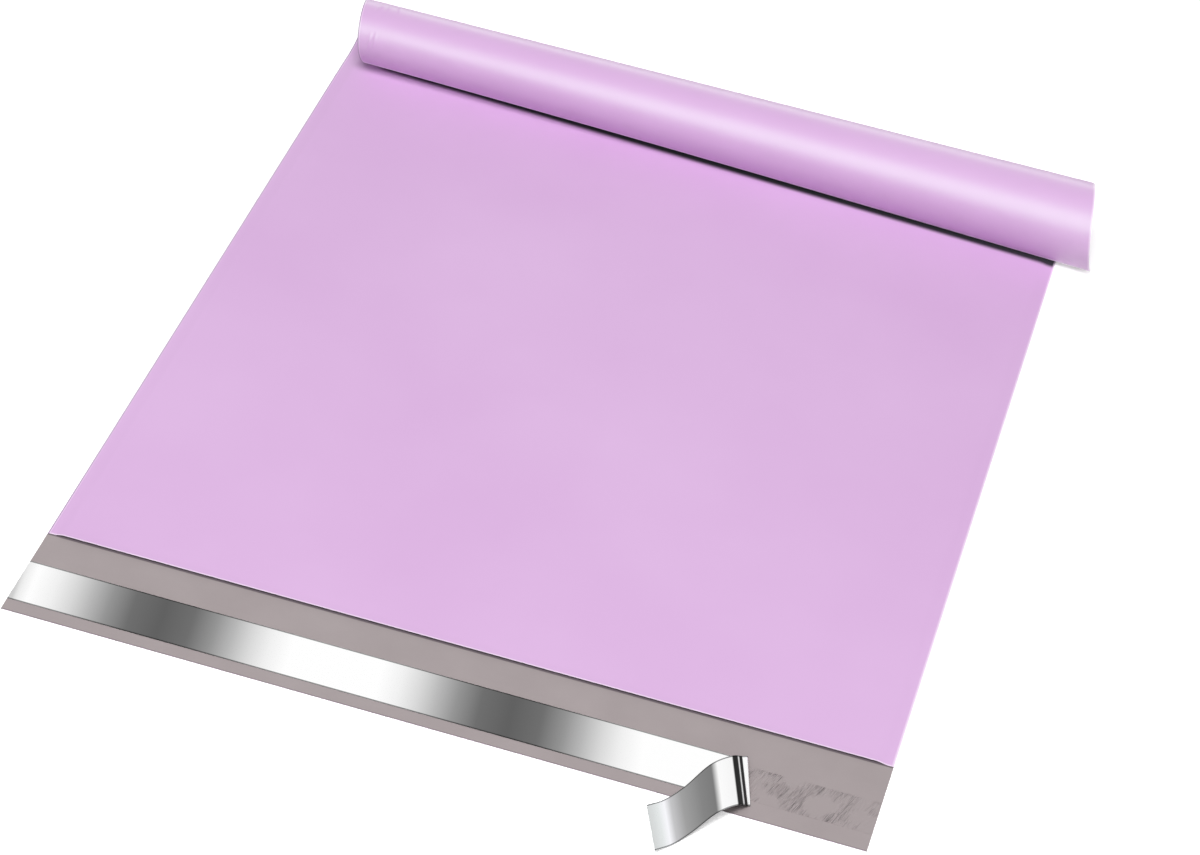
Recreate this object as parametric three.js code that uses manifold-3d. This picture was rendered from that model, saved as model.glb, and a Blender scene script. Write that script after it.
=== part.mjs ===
// Poly mailer bag lying on its back: a folded film pouch with welded sides and a sealing flap,
// its closed end curled up and over, its adhesive strip bared at one side by a half peeled liner.
// Millimetres. X runs along the mouth, Y from the mouth to the closed end, Z up from the table.
// The origin is the middle of the mouth, on the table.

import * as THREE from "three";
import { mergeVertices } from "three/addons/utils/BufferGeometryUtils.js";
import Module from "manifold-3d";

const wasm = await Module();
wasm.setup();

// Pouch: one web of film folded at the closed end and welded along both sides
const POUCH_WIDTH = 368.3;
const POUCH_LENGTH = 482.6;
const FLAP_LENGTH = 50;
const FILM_THICKNESS = 0.06;
const POCKET_GAP = 0.5;
const SIDE_WELD = 2.4;
const WELD_SLOPE = 2;
const CLOSED_FOLD = 1.2;

// Curl of the closed end: film length past the line where it lifts, how far it turns in degrees,
// how far it creeps to the right as it turns, and how sharply its free end still bends
const CURL_LENGTH_LEFT = 106;
const CURL_LENGTH_RIGHT = 118;
const CURL_TURN_LEFT = 351;
const CURL_TURN_RIGHT = 307;
const CURL_CREEP_LEFT = 12;
const CURL_CREEP_RIGHT = 17;
const CURL_END_BEND_LEFT = 1;
const CURL_END_BEND_RIGHT = 0.73;

// The shares of the curl's length up to which it bends more and more, and past which it slackens
const CURL_EASE = 0.2;
const CURL_SLACKENS = 0.5;
const CURL_STEPS = 40;

// Seal: adhesive on the inner face of the flap, and the release liner that covers it
const LINER_WIDTH = 24.5;
const LINER_THICKNESS = 0.05;
const LINER_TO_FLAP_EDGE = 6.7;
const ADHESIVE_WIDTH = 18.5;
const ADHESIVE_THICKNESS = 0.05;

// Peeled end of the liner: how much is free at its near and far edge, and the fold it turns round
const PEELED_NEAR = 50;
const PEELED_FAR = 59.3;
const FOLD_RADIUS_NEAR = 0.3;
const FOLD_RADIUS_FAR = 2.1;
const FOLD_STEPS = 10;

// Free tail of the liner: its heading from -X towards -Y, the slant of its cut end,
// and its upper face's height at its near and far edge by the length run from the fold
const TAIL_HEADING = 53.5;
const TAIL_END_SLANT = 23;
const TAIL_HEIGHTS = [
  { run: 6.5, near: 4.6, far: 7.6 },
  { run: 17.5, near: 6.2, far: 8.8 },
  { run: 30.5, near: 1.9, far: 2.3 },
  { run: 39.5, near: 0.45, far: 0.5 },
  { run: 48.7, near: 2.3, far: 2.3 },
];
const TAIL_STEPS = 24;

const HALF_WIDTH = POUCH_WIDTH / 2;
const UP = new THREE.Vector3(0, 0, 1);

// A thin sheet of film: two grids of points, one for each face, closed round all four edges.
// Both grids are [row][column]; looking from the upper face, rows run to the left of columns.
function slab(lower, upper) {
  const rows = lower.length;
  const columns = lower[0].length;
  const positions = [];
  const quad = (a, b, c, d) => {
    for (const point of [a, b, c, a, c, d]) positions.push(point.x, point.y, point.z);
  };
  for (let i = 0; i < rows - 1; i++) {
    for (let j = 0; j < columns - 1; j++) {
      quad(upper[i][j], upper[i][j + 1], upper[i + 1][j + 1], upper[i + 1][j]);
      quad(lower[i][j], lower[i + 1][j], lower[i + 1][j + 1], lower[i][j + 1]);
    }
    quad(lower[i][0], upper[i][0], upper[i + 1][0], lower[i + 1][0]);
    const j = columns - 1;
    quad(upper[i][j], lower[i][j], lower[i + 1][j], upper[i + 1][j]);
  }
  for (let j = 0; j < columns - 1; j++) {
    const i = rows - 1;
    quad(lower[0][j], lower[0][j + 1], upper[0][j + 1], upper[0][j]);
    quad(upper[i][j], upper[i][j + 1], lower[i][j + 1], lower[i][j]);
  }
  const geometry = new THREE.BufferGeometry();
  geometry.setAttribute("position", new THREE.Float32BufferAttribute(positions, 3));
  return closeUp(geometry);
}

// Merges shared corners and drops the faces that shrink to a line where two layers meet
function closeUp(geometry) {
  const merged = mergeVertices(geometry, 1e-5);
  const old = merged.index.array;
  const kept = [];
  for (let k = 0; k < old.length; k += 3) {
    const [a, b, c] = [old[k], old[k + 1], old[k + 2]];
    if (a !== b && b !== c && c !== a) kept.push(a, b, c);
  }
  merged.setIndex(kept);
  return merged;
}

function toSolid(geometry) {
  return new wasm.Manifold(new wasm.Mesh({
    numProp: 3,
    vertProperties: new Float32Array(geometry.attributes.position.array),
    triVerts: new Uint32Array(geometry.index.array),
  }));
}

function toGeometry(solid) {
  const mesh = solid.getMesh();
  const geometry = new THREE.BufferGeometry();
  geometry.setAttribute("position", new THREE.BufferAttribute(mesh.vertProperties, 3));
  geometry.setIndex(new THREE.BufferAttribute(mesh.triVerts, 1));
  geometry.computeVertexNormals();
  return geometry;
}

// One side's curl, as points and slopes in the YZ plane and a creep along X. The film lies flat,
// bends more and more over the eased start, turns evenly, and slackens to its free end's bend.
function curlProfile(length, turnDegrees, creep, endBend) {
  const turn = THREE.MathUtils.degToRad(turnDegrees);
  const bentBy = (t) => {
    if (t < CURL_EASE) return (t * t) / (2 * CURL_EASE);
    const slack = Math.max(0, t - CURL_SLACKENS);
    return t - CURL_EASE / 2 - ((1 - endBend) * slack * slack) / (2 * (1 - CURL_SLACKENS));
  };
  const slopeAt = (t) => (turn * bentBy(t)) / bentBy(1);
  const profile = [{ x: 0, y: POUCH_LENGTH - length, z: 0, slope: 0 }];
  for (let k = 1; k <= CURL_STEPS; k++) {
    const last = profile[k - 1];
    const middle = slopeAt((k - 0.5) / CURL_STEPS);
    profile.push({
      x: (creep * slopeAt(k / CURL_STEPS)) / turn,
      y: last.y + (Math.cos(middle) * length) / CURL_STEPS,
      z: last.z + (Math.sin(middle) * length) / CURL_STEPS,
      slope: slopeAt(k / CURL_STEPS),
    });
  }
  return profile;
}

const leftCurl = curlProfile(
  CURL_LENGTH_LEFT,
  CURL_TURN_LEFT,
  CURL_CREEP_LEFT,
  CURL_END_BEND_LEFT,
);
const rightCurl = curlProfile(
  CURL_LENGTH_RIGHT,
  CURL_TURN_RIGHT,
  CURL_CREEP_RIGHT,
  CURL_END_BEND_RIGHT,
);

// The point at a height above the pouch's outer back face, on the straight line that joins
// station k of the left curl to station k of the right one
function onCurl(k, x, height) {
  const share = (x + HALF_WIDTH) / POUCH_WIDTH;
  const left = leftCurl[k];
  const right = rightCurl[k];
  const slope = THREE.MathUtils.lerp(left.slope, right.slope, share);
  return new THREE.Vector3(
    x + THREE.MathUtils.lerp(left.x, right.x, share),
    THREE.MathUtils.lerp(left.y, right.y, share) - Math.sin(slope) * height,
    THREE.MathUtils.lerp(left.z, right.z, share) + Math.cos(slope) * height,
  );
}

// A layer of the pouch from startY to the station `last` of the curl. Each column gives its x
// and the heights of its two faces.
function pouchLayer(columns, startY, last) {
  const rows = (face) => {
    const grid = [columns.map((c) => new THREE.Vector3(c.x, startY, c[face]))];
    for (let k = 0; k <= last; k++) grid.push(columns.map((c) => onCurl(k, c.x, c[face])));
    return grid;
  };
  return toSolid(slab(rows("low"), rows("high")));
}

function mirrored(columns) {
  const left = columns.map((c) => ({ ...c, x: -c.x }));
  return [...left, ...columns.reverse()];
}

// Front and back panel, welded to each other along the sides, less the pocket between them
function makePouch() {
  const weldInner = HALF_WIDTH - SIDE_WELD;
  const pocketSide = weldInner - WELD_SLOPE;
  const welded = 2 * FILM_THICKNESS;
  const open = welded + POCKET_GAP;
  const panels = pouchLayer(mirrored([
    { x: HALF_WIDTH, low: 0, high: welded },
    { x: weldInner, low: 0, high: welded },
    { x: pocketSide, low: 0, high: open },
  ]), 0, CURL_STEPS);
  const foldSteps = Math.ceil((CLOSED_FOLD * CURL_STEPS) / CURL_LENGTH_LEFT);
  const pocket = pouchLayer(mirrored([
    { x: weldInner, low: FILM_THICKNESS, high: FILM_THICKNESS },
    { x: pocketSide, low: FILM_THICKNESS, high: open - FILM_THICKNESS },
  ]), -FLAP_LENGTH, CURL_STEPS - foldSteps);
  return toGeometry(panels.subtract(pocket).add(makeFlap()));
}

// The back panel runs on past the mouth as a single layer, and laps the panels to join them
function makeFlap() {
  const lap = SIDE_WELD;
  return toSolid(flatStrip(-FLAP_LENGTH, lap, 0, FILM_THICKNESS));
}

// A flat strip across the whole pouch, from one y and z to another
function flatStrip(nearY, farY, low, high) {
  const grid = (z) => [nearY, farY].map((y) => [
    new THREE.Vector3(-HALF_WIDTH, y, z),
    new THREE.Vector3(HALF_WIDTH, y, z),
  ]);
  return slab(grid(low), grid(high));
}

const linerNearY = -FLAP_LENGTH + LINER_TO_FLAP_EDGE;
const linerFarY = linerNearY + LINER_WIDTH;
const adhesiveTop = FILM_THICKNESS + ADHESIVE_THICKNESS;

function makeAdhesive() {
  const nearY = linerNearY + (LINER_WIDTH - ADHESIVE_WIDTH) / 2;
  return flatStrip(nearY, nearY + ADHESIVE_WIDTH, FILM_THICKNESS, adhesiveTop);
}

const foldSkew = Math.atan2(PEELED_FAR - PEELED_NEAR, LINER_WIDTH);

// One edge of the liner turning back over itself round the fold line, which lies askew to it
function foldEdge(peelPoint, radius) {
  const across = new THREE.Vector3(Math.cos(foldSkew), Math.sin(foldSkew), 0);
  const along = new THREE.Vector3(Math.sin(foldSkew), -Math.cos(foldSkew), 0);
  const points = [];
  for (let k = 1; k <= FOLD_STEPS; k++) {
    const angle = (Math.PI * k) / FOLD_STEPS;
    points.push(peelPoint.clone()
      .addScaledVector(across, radius * Math.sin(angle))
      .addScaledVector(along, radius * angle * Math.tan(foldSkew))
      .addScaledVector(UP, radius * (1 - Math.cos(angle))));
  }
  return points;
}

// Both edges of the free tail past the fold, as smooth curves through the stated heights
function tailEdges(nearStart, farStart) {
  const heading = THREE.MathUtils.degToRad(TAIL_HEADING);
  const fullRun = TAIL_HEIGHTS[TAIL_HEIGHTS.length - 1].run;
  const near = [nearStart];
  const far = [farStart];
  for (const stop of TAIL_HEIGHTS) {
    const share = stop.run / fullRun;
    const slant = THREE.MathUtils.lerp(foldSkew, THREE.MathUtils.degToRad(TAIL_END_SLANT), share);
    const point = nearStart.clone();
    point.x -= Math.cos(heading) * stop.run;
    point.y -= Math.sin(heading) * stop.run;
    near.push(point.clone().setZ(stop.near));
    point.x -= Math.sin(slant) * LINER_WIDTH;
    point.y += Math.cos(slant) * LINER_WIDTH;
    far.push(point.setZ(stop.far));
  }
  const smooth = (points) => new THREE.CatmullRomCurve3(points).getPoints(TAIL_STEPS).slice(1);
  return [smooth(near), smooth(far)];
}

// The liner's outer face as rows of a near and a far point, from its left end to the tail's end
function linerRows() {
  const row = (nearX, farX) => [
    new THREE.Vector3(nearX, linerNearY, adhesiveTop),
    new THREE.Vector3(farX, linerFarY, adhesiveTop),
  ];
  const rows = [
    row(-HALF_WIDTH, -HALF_WIDTH),
    row(HALF_WIDTH - PEELED_NEAR, HALF_WIDTH - PEELED_FAR),
  ];
  const nearFold = foldEdge(rows[1][0], FOLD_RADIUS_NEAR);
  const farFold = foldEdge(rows[1][1], FOLD_RADIUS_FAR);
  const [nearTail, farTail] = tailEdges(nearFold.at(-1), farFold.at(-1));
  nearFold.forEach((point, k) => rows.push([point, farFold[k]]));
  nearTail.forEach((point, k) => rows.push([point, farTail[k]]));
  return rows;
}

// The direction square to the liner at one of its rows, on the side of its inner face
function linerNormal(rows, i, side) {
  const before = rows[Math.max(i - 1, 0)][side];
  const after = rows[Math.min(i + 1, rows.length - 1)][side];
  const along = after.clone().sub(before);
  const across = rows[i][1].clone().sub(rows[i][0]);
  return along.cross(across).normalize();
}

function makeLiner() {
  const outer = linerRows();
  const inner = outer.map((row, i) => row.map((point, side) => {
    const normal = i < 2 ? UP : linerNormal(outer, i, side);
    return point.clone().addScaledVector(normal, LINER_THICKNESS);
  }));
  const flip = (rows) => rows.map((row) => [row[1], row[0]]);
  return slab(flip(outer), flip(inner));
}

const group = new THREE.Group();

function addPiece(name, geometry, colour, roughness, metalness) {
  const material = new THREE.MeshStandardMaterial({ color: colour, roughness, metalness });
  const mesh = new THREE.Mesh(geometry, material);
  mesh.name = name;
  group.add(mesh);
}

addPiece("film_pouch", makePouch(), 0xdfbae3, 0.42, 0);
addPiece("adhesive_strip", makeAdhesive(), 0xa89e9f, 0.35, 0);
addPiece("release_liner", makeLiner(), 0xd8d9db, 0.12, 1);

export default group;
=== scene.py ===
"""Looks of a poly mailer bag: its folded film pouch, its adhesive strip and its half peeled liner."""

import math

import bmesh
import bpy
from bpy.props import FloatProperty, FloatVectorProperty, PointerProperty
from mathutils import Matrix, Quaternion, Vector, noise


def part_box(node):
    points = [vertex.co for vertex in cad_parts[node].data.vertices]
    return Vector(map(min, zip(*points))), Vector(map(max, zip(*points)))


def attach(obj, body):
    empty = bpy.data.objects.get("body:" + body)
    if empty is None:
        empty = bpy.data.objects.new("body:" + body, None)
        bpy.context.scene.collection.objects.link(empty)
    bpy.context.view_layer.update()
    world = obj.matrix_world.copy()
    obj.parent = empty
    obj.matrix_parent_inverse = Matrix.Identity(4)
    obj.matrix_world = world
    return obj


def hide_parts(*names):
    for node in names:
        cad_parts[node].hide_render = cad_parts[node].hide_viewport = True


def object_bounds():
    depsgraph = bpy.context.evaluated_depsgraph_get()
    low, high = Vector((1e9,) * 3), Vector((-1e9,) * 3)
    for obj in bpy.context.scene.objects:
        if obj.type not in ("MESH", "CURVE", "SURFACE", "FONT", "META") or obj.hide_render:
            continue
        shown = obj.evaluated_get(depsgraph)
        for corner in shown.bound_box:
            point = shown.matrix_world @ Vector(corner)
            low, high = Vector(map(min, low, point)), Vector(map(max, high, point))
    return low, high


bl_info = {
    "name": "Poly mailer bag",
    "version": (1, 0, 0),
    "blender": (4, 5, 0),
    "location": "View3D > Sidebar > Mailer",
    "description": "Makes a curled film mailing bag, its sealing strip and its release liner",
    "category": "Object",
}

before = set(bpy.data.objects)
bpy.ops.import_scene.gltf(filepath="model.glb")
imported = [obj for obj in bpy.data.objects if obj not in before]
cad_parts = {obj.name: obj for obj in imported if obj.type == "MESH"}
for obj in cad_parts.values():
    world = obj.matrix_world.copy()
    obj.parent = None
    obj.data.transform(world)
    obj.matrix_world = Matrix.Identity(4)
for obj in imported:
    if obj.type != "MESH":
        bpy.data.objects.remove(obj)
CAD_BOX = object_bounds()
STRIP_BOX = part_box("adhesive_strip")

MM = 0.001
BODY = "root"
UP = Vector((0, 0, 1))


def hex_colour(code):
    """An sRGB hex colour as the linear red, green and blue that shaders take."""
    parts = [int(code[i : i + 2], 16) / 255 for i in (1, 3, 5)]
    return tuple(c / 12.92 if c <= 0.04045 else ((c + 0.055) / 1.055) ** 2.4 for c in parts)


def length_property(name, description, millimetres):
    return FloatProperty(
        name=name,
        description=description,
        default=millimetres * MM,
        unit="LENGTH",
        precision=5,
    )


def angle_property(name, description, degrees):
    return FloatProperty(
        name=name,
        description=description,
        default=math.radians(degrees),
        subtype="ANGLE",
    )


def share_property(name, description, value):
    return FloatProperty(name=name, description=description, default=value, subtype="FACTOR")


def colour_property(name, description, code):
    return FloatVectorProperty(
        name=name,
        description=description,
        default=hex_colour(code),
        size=3,
        min=0,
        max=1,
        subtype="COLOR",
    )


class FilmSettings(bpy.types.PropertyGroup):
    """Sizes and colours of the folded film pouch."""

    width: FloatProperty(
        name="Width",
        description="Width of the bag across its mouth",
        default=STRIP_BOX[1].x - STRIP_BOX[0].x,
        unit="LENGTH",
    )
    length: length_property("Length", "Length from the mouth to the closed end", 482.6)
    flap: length_property("Flap", "Length of the sealing flap past the mouth", 50)
    thickness: length_property("Film", "Thickness of the film", 0.06)
    pocket: length_property("Pocket", "Gap between the two panels", 0.5)
    weld: length_property("Side weld", "Width of the welded sides", 2.4)
    weld_slope: length_property("Weld slope", "Run from the weld to the full pocket", 5)
    crevice: length_property("Crevice", "What is left of the pocket in the weld", 0.01)
    mouth_lift: length_property("Mouth lift", "How far the front panel's lip stands up", 0.3)
    waviness: length_property("Waviness", "Height of the front panel's slow waves", 0.12)
    curl_left: length_property("Curl, left", "Film in the curl at the left side", 106)
    curl_right: length_property("Curl, right", "Film in the curl at the right side", 118)
    turn_left: angle_property("Turn, left", "How far the curl turns at the left side", 351)
    turn_right: angle_property("Turn, right", "How far the curl turns at the right side", 307)
    creep_left: length_property("Creep, left", "Sideways creep of the curl's left end", 12)
    creep_right: length_property("Creep, right", "Sideways creep of the curl's right end", 17)
    end_bend_left: share_property("End bend, left", "Bend left at the free end", 1)
    end_bend_right: share_property("End bend, right", "Bend left at the free end", 0.73)
    ease: share_property("Ease", "Share of the curl that bends more and more", 0.2)
    slackens: share_property("Slackens", "Share of the curl past which it slackens", 0.5)
    outside: colour_property("Outside", "Colour of the film's outer layer", "#dbb2e0")
    outside_deep: colour_property("Outside, deep", "The outer layer's deeper tone", "#d7acdc")
    inside: colour_property("Inside", "Colour of the film's inner layer", "#9f9596")
    inside_deep: colour_property("Inside, deep", "The inner layer's deeper tone", "#998f90")
    # The painted highlight's colour, along the sides, the lip and the line above the crevice
    edge: colour_property("Cut edge", "Colour of the stressed film along its edges", "#f6e2f8")
    # Colour of the painted shade along the left side's edge
    shaded_edge: colour_property("Shaded edge", "Colour of the left side's cut edge", "#8d6496")
    # Colour of the painted shade in the crevice under the curl, under the lip and at the flap's edge
    painted_shade_colour: colour_property("Crevice colour", "Colour of film in a crevice", "#20002a")


class SealSettings(bpy.types.PropertyGroup):
    """Sizes and colours of the adhesive strip and its release liner."""

    adhesive_colour: colour_property("Adhesive", "Colour of the adhesive on the flap", "#9a9091")
    liner_width: length_property("Liner width", "Width of the release liner", 24.5)
    liner_thickness: length_property("Liner film", "Thickness of the release liner", 0.05)
    liner_inset: length_property("Liner inset", "From the flap's edge to the liner", 6.7)
    adhesive_width: length_property("Adhesive width", "Width of the adhesive strip", 18.5)
    adhesive_thickness: length_property("Adhesive coat", "Thickness of the adhesive", 0.05)
    peeled_near: length_property("Peeled, near", "Free liner at its near edge", 50)
    peeled_far: length_property("Peeled, far", "Free liner at its far edge", 59.3)
    fold_near: length_property("Fold, near", "Radius of the fold at the near edge", 0.3)
    fold_far: length_property("Fold, far", "Radius of the fold at the far edge", 2.1)
    heading: angle_property("Tail heading", "Heading of the free tail from -X to -Y", 53.5)
    end_slant: angle_property("Tail slant", "Slant of the tail's cut end", 23)


class StageSettings(bpy.types.PropertyGroup):
    """Camera, floor and light."""

    azimuth: angle_property("Azimuth", "Where the camera stands round the bag", 11.0653)
    elevation: angle_property("Elevation", "How far the camera looks down", 39.9125)
    roll: angle_property("Roll", "How far the camera is turned round its own axis", 7.7484)
    distance: length_property("Distance", "From the camera to the plane through the mouth", 1509.6)
    shift_right: length_property("Aim, across", "The mouth's middle from the picture's", -56.6)
    shift_up: length_property("Aim, up", "The mouth's middle from the picture's", -91.3)
    focal: FloatProperty(
        name="Focal length",
        description="Focal length on a 36 mm sensor, in millimetres",
        default=109.42,
    )
    key: FloatProperty(
        name="Key light",
        description="Power of the large soft lamp above the bag",
        default=89,
        unit="POWER",
    )
    shine: FloatProperty(
        name="Shine light",
        description="Power of the long lamp beside the camera, which only gloss shows",
        default=108,
        unit="POWER",
    )
    rim: FloatProperty(
        name="Back light",
        description="Power of the low lamp behind the bag, which only gloss shows",
        default=20,
        unit="POWER",
    )
    ambient: FloatProperty(
        name="Ambient",
        description="Strength of the light from all round",
        default=0.18,
    )
    floor_colour: colour_property("Floor", "Colour of the floor", "#f4f4f4")


def lerp(a, b, share):
    return a + (b - a) * share


def smoothstep(value):
    t = min(1.0, max(0.0, value))
    return t * t * (3 - 2 * t)


def add_node(tree, kind, settings=None, links=None):
    """Adds a node. A setting is one of its own values or an input's, and a link feeds an input.
    Inputs go by name, and by number where a node has several of one name."""
    node = tree.nodes.new(kind)
    for name, value in (settings or {}).items():
        if isinstance(name, str) and hasattr(node, name):
            setattr(node, name, value)
        else:
            node.inputs[name].default_value = value
    for name, socket in (links or {}).items():
        tree.links.new(socket, node.inputs[name])
    return node


def new_material(name):
    """An empty node material with its output node."""
    material = bpy.data.materials.new(name)
    material.use_nodes = True
    material.node_tree.nodes.clear()
    output = add_node(material.node_tree, "ShaderNodeOutputMaterial")
    return material, material.node_tree, output


def set_ramp(node, stops):
    """Gives a colour ramp its stops, each a place from 0 to 1 and a linear colour."""
    elements = node.color_ramp.elements
    while len(elements) > 1:
        elements.remove(elements[-1])
    elements[0].position = stops[0][0]
    elements[0].color = (*stops[0][1], 1)
    for place, colour in stops[1:]:
        elements.new(place).color = (*colour, 1)


def finish_piece(bm, name, materials, node):
    """Turns a bmesh into a piece that stands for a node of the frame and takes its finish."""
    mesh = bpy.data.meshes.new(name)
    bm.to_mesh(mesh)
    bm.free()
    for material in materials:
        mesh.materials.append(material)
    piece = bpy.data.objects.new(name, mesh)
    bpy.context.scene.collection.objects.link(piece)
    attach(piece, BODY)
    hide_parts(node)
    return piece


# Faces that meet at a wider angle than this show a sharp edge
SHARP_ANGLE = math.radians(45)


def flat_sheet(columns, rows):
    """A closed sheet one unit thick. Each corner's x and y count columns and rows, its z is 0 or 1."""
    bm = bmesh.new()
    bmesh.ops.create_grid(bm, x_segments=columns - 1, y_segments=rows - 1, size=0.5)
    for vert in bm.verts:
        vert.co.x = round((vert.co.x + 0.5) * (columns - 1))
        vert.co.y = round((vert.co.y + 0.5) * (rows - 1))
    made = bmesh.ops.extrude_face_region(bm, geom=bm.faces[:], use_keep_orig=True)
    raised = [item for item in made["geom"] if isinstance(item, bmesh.types.BMVert)]
    bmesh.ops.translate(bm, verts=raised, vec=UP)
    bmesh.ops.recalc_face_normals(bm, faces=bm.faces[:])
    for face in bm.faces:
        face.smooth = True
    for edge in bm.edges:
        edge.smooth = edge.calc_face_angle(0) < SHARP_ANGLE
    return bm


def spread(start, stops):
    """Places from start on through stops, each a place to reach and the step used on the way."""
    places = [start]
    for stop, step in stops:
        count = max(1, round(abs(stop - places[-1]) / step))
        first = places[-1]
        places += [lerp(first, stop, k / count) for k in range(1, count + 1)]
    return places


CURL_TABLE_STEPS = 600


def curl_profile(film, side):
    """One side's curl as a list of creep, place along the bag, height and slope."""
    length = getattr(film, "curl_" + side)
    turn = getattr(film, "turn_" + side)
    creep = getattr(film, "creep_" + side)
    end_bend = getattr(film, "end_bend_" + side)

    def bent_by(t):
        if t < film.ease:
            return t * t / (2 * film.ease)
        slack = max(0, t - film.slackens)
        return t - film.ease / 2 - (1 - end_bend) * slack * slack / (2 * (1 - film.slackens))

    step = length / CURL_TABLE_STEPS
    table = [(0, film.length - length, 0, 0)]
    for k in range(1, CURL_TABLE_STEPS + 1):
        middle = turn * bent_by((k - 0.5) / CURL_TABLE_STEPS) / bent_by(1)
        share = bent_by(k / CURL_TABLE_STEPS) / bent_by(1)
        y = table[-1][1] + math.cos(middle) * step
        z = table[-1][2] + math.sin(middle) * step
        table.append((creep * share, y, z, turn * share))
    return table


def curl_place(film):
    """A function that puts a point of the flat bag, with its height off the back, on the curl."""
    left = curl_profile(film, "left")
    right = curl_profile(film, "right")

    def place(x, y, height):
        across = x / film.width + 0.5
        reach = lerp(film.curl_left, film.curl_right, across)
        along = (y - film.length + reach) / reach
        if along <= 0:
            return Vector((x, y, height))
        station = min(along, 1) * CURL_TABLE_STEPS
        k = min(int(station), CURL_TABLE_STEPS - 1)
        at = [
            lerp(lerp(left[k][n], left[k + 1][n], station - k),
                 lerp(right[k][n], right[k + 1][n], station - k), across)
            for n in range(4)
        ]
        creep, base_y, base_z, slope = at
        over = max(0.0, along - 1) * reach
        return Vector((
            x + creep,
            base_y - math.sin(slope) * height + math.cos(slope) * over,
            base_z + math.cos(slope) * height + math.sin(slope) * over,
        ))

    return place


# Creases near the curl's left end: distance from the side, share of the bag's length past the
# lift-off line, heading from the side edge in degrees, half length and height, in millimetres
LEFT_CREASES = [
    (9.2, 59.4, -19, 6, 0.5),
    (12.7, 59.3, -21, 5, 0.45),
    (18.3, 57, -16, 5, 0.4),
    (5.7, 80.2, -14, 6, 0.55),
    (8.6, 78.7, -13, 5.5, 0.5),
    (3.2, 88, -24, 4, 0.4),
    (7.5, 92, -45, 4, 0.4),
    (15, 94, -60, 4, 0.3),
]
CREASE_WIDTH = 0.65


def crease_height(from_side, past_lift):
    """Height in metres that the creases add at a place near the curl's left end."""
    total = 0
    for side, past, heading, half_length, height in LEFT_CREASES:
        angle = math.radians(heading)
        dx = from_side / MM - side
        dy = past_lift / MM - past
        along = dx * math.sin(angle) + dy * math.cos(angle)
        across = dx * math.cos(angle) - dy * math.sin(angle)
        reach = max(0.0, 1 - (along / half_length) ** 2)
        total += height * reach * reach * math.exp(-((across / CREASE_WIDTH) ** 2))
    return total * MM


FOLD_STEPS = 8

# How far in from the left side the film is finely divided for its creases, in millimetres
CREASED_SIDE = 21

# Points of the film that lie closer than this are one
MERGE_DISTANCE = 1e-7


def film_columns(film):
    """Places across the bag, close together at its sides and where the left end creases."""
    half = film.width / MM / 2
    weld = film.weld / MM
    slope = film.weld_slope / MM
    stops = [
        (CREASED_SIDE - half, 0.33),
        (half - weld - slope, 7),
        (half - weld, 1.8),
        (half - 0.9, 0.5),
        (half, 0.3),
    ]
    return [x * MM for x in spread(-half, stops)]


def film_rows(film):
    """Rows along the web from the flap's edge, over the closed fold, to the front panel's lip.
    Each has its part of the web, a place in that part, and how far along the web it lies."""
    length = film.length / MM
    flap = film.flap / MM
    flat = length - film.curl_right / MM
    stops = [
        (1, 0.25),
        (4, 0.5),
        (12, 2),
        (flat, 7),
        (length - 2, 1.3),
        (length - 0.5, 0.4),
    ]
    panel = spread(0, stops)
    rows = [("back", y * MM, (y + flap) * MM) for y in spread(-flap, [(0, 4)])]
    rows += [("back", y * MM, (y + flap) * MM) for y in panel[1:]]
    fold_end = (flap + length) * MM
    rows += [("fold", math.pi * k / FOLD_STEPS, fold_end) for k in range(FOLD_STEPS + 1)]
    rows += [("front", y * MM, fold_end + (length - y) * MM) for y in reversed(panel)]
    return rows


def make_film(film):
    """The folded web: modelled flat as one sheet, then folded, welded and curled."""
    columns = film_columns(film)
    rows = film_rows(film)
    place = curl_place(film)
    thick = film.thickness
    bm = flat_sheet(len(columns), len(rows))
    uv = bm.loops.layers.uv.new("web")
    for face in bm.faces:
        face.material_index = 1 if face.normal.z > 0.5 else 0
        for loop in face.loops:
            co = loop.vert.co
            loop[uv].uv = (columns[round(co.x)], rows[round(co.y)][2])
    for vert in bm.verts:
        x = columns[round(vert.co.x)]
        part, at, _ = rows[round(vert.co.y)]
        inner = vert.co.z
        from_side = film.width / 2 - abs(x)
        opened = smoothstep((from_side - film.weld) / film.weld_slope)
        gap = max(film.crevice, film.pocket * opened)
        radius = (thick + gap) / 2
        centre = film.length - radius - thick / 2
        if part == "fold":
            reach = radius + thick / 2 - inner * thick
            y = centre + reach * math.sin(at)
            height = radius + thick / 2 - reach * math.cos(at)
        else:
            y = min(at, centre)
            height = inner * thick
        if part == "front":
            height = gap + (2 - inner) * thick
            height += film.mouth_lift * opened * max(0.0, 1 - at / (5 * MM)) ** 2
            height += front_wave(film, x, at) * opened
        reach = lerp(film.curl_left, film.curl_right, x / film.width + 0.5)
        past = y - film.length + reach
        if x < 0 and past > 0:
            height -= crease_height(from_side, past)
        vert.co = place(x, y, height)
    bmesh.ops.remove_doubles(bm, verts=bm.verts[:], dist=MERGE_DISTANCE)
    return bm


WAVE_LENGTH = 150 * MM
WAVE_LAYER = 3.7


def front_wave(film, x, y):
    """The slow waves that a flat film panel keeps, most of them upwards."""
    swell = noise.noise(Vector((x / WAVE_LENGTH, y / WAVE_LENGTH, WAVE_LAYER)))
    return film.waviness * (0.5 + swell)


def clouded(tree, web, scale, detail, deep, full):
    """A pigment's two tones in soft clouds along the web, and the noise that makes the clouds."""
    cloud = add_node(tree, "ShaderNodeTexNoise", {"Scale": scale, "Detail": detail}, {"Vector": web})
    tone = add_node(tree, "ShaderNodeValToRGB", links={"Fac": cloud.outputs["Fac"]})
    set_ramp(tone, [(0.3, deep), (0.7, full)])
    return tone.outputs["Color"], cloud.outputs["Fac"]


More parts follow.
